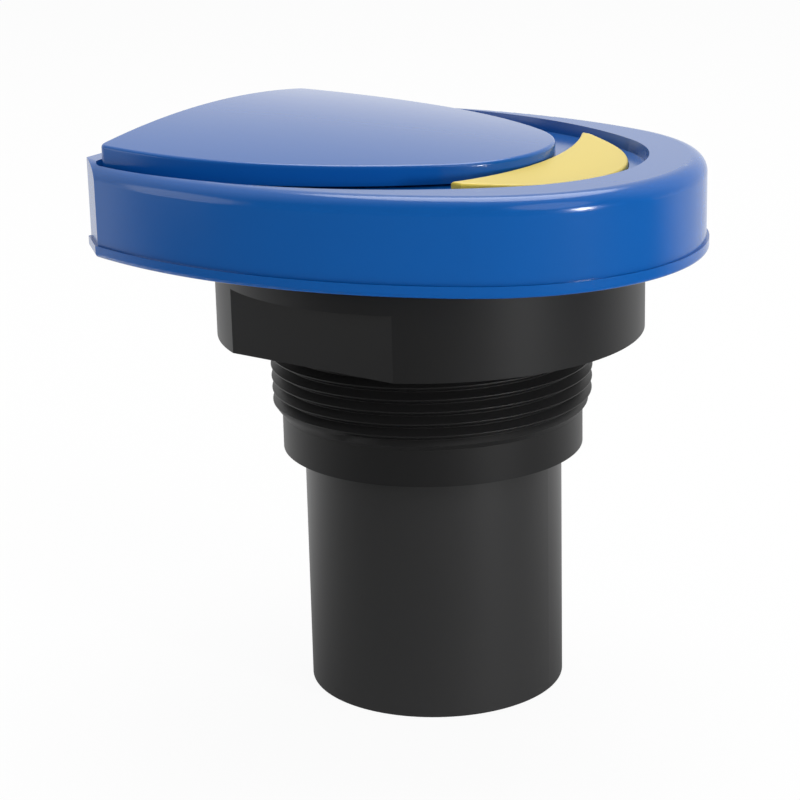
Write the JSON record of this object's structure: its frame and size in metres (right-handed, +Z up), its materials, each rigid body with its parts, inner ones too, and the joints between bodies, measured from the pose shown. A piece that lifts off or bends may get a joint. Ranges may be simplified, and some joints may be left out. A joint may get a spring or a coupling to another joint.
{
  "type": "ultrasonic level transmitter",
  "caption": "Ultrasonic level transmitter with a flat blue head, a hinged domed lid over display and keys, and a black transducer on a tapered pipe thread.",
  "frame": {"origin": "centre of the flat sensing face at the lower end of the transducer", "axes": "+Z up the thread axis to the head, +X to the rounded nose of the head, the lid's hinge at the back on -X"},
  "size_m": [0.1133, 0.0896, 0.1078],
  "materials": {
    "black_body": "satin",
    "blue_head": "satin",
    "yellow_insert": "satin",
    "window_resin": "matte",
    "seal_rubber": "matte",
    "steel": "satin",
    "brass_plate": "satin",
    "panel_grey": "matte",
    "key_rubber": "matte",
    "clear_window": "gloss",
    "display_body": "satin",
    "board_green": "satin",
    "piezo_ceramic": "matte",
    "potting_resin": "satin",
    "terminal_green": "satin"
  },
  "bodies": {
    "root": {"process_fitting": "black_body", "transducer_barrel": "black_body", "acoustic_window": "window_resin", "matching_layer": "window_resin", "piezo_disc": "piezo_ceramic", "damping_cup": "seal_rubber", "transducer_potting": "potting_resin", "transducer_lead": "seal_rubber", "lead_plug": "window_resin", "fitting_seal_ring": "seal_rubber", "fitting_lock_nut": "brass_plate", "base_plate": "blue_head", "housing_gasket": "seal_rubber", "head_housing": "blue_head", "housing_screws": "steel", "front_insert": "yellow_insert", "control_panel": "panel_grey", "display_window": "clear_window", "display_module": "display_body", "key_switches": "window_resin", "main_board": "board_green", "board_screws": "steel", "drive_coil": "window_resin", "filter_capacitors": "window_resin", "terminal_board": "board_green", "terminal_block": "terminal_green", "terminal_screws": "steel", "gland_body": "black_body", "gland_nut": "black_body", "gland_seal": "seal_rubber", "blanking_plug": "black_body", "hinge_pin": "steel"},
    "lid": {"lid": "blue_head"},
    "menu_key": {"menu_key": "key_rubber"},
    "down_key": {"down_key": "key_rubber"},
    "up_key": {"up_key": "key_rubber"},
    "enter_key": {"enter_key": "key_rubber"}
  },
  "joints": [
    {"name": "lid_hinge", "type": "hinge", "parent": "root", "child": "lid", "pos_m": [-0.0519, 0, 0.1023], "axis": [0, -1, 0], "range_deg": [0, 110]},
    {"name": "menu_press", "type": "slide", "parent": "root", "child": "menu_key", "axis": [0, 0, -1], "range_m": [0, 0.0008], "stiffness_N_per_m": 2500},
    {"name": "down_press", "type": "slide", "parent": "root", "child": "down_key", "axis": [0, 0, -1], "range_m": [0, 0.0008], "stiffness_N_per_m": 2500},
    {"name": "up_press", "type": "slide", "parent": "root", "child": "up_key", "axis": [0, 0, -1], "range_m": [0, 0.0008], "stiffness_N_per_m": 2500},
    {"name": "enter_press", "type": "slide", "parent": "root", "child": "enter_key", "axis": [0, 0, -1], "range_m": [0, 0.0008], "stiffness_N_per_m": 2500}
  ]
}
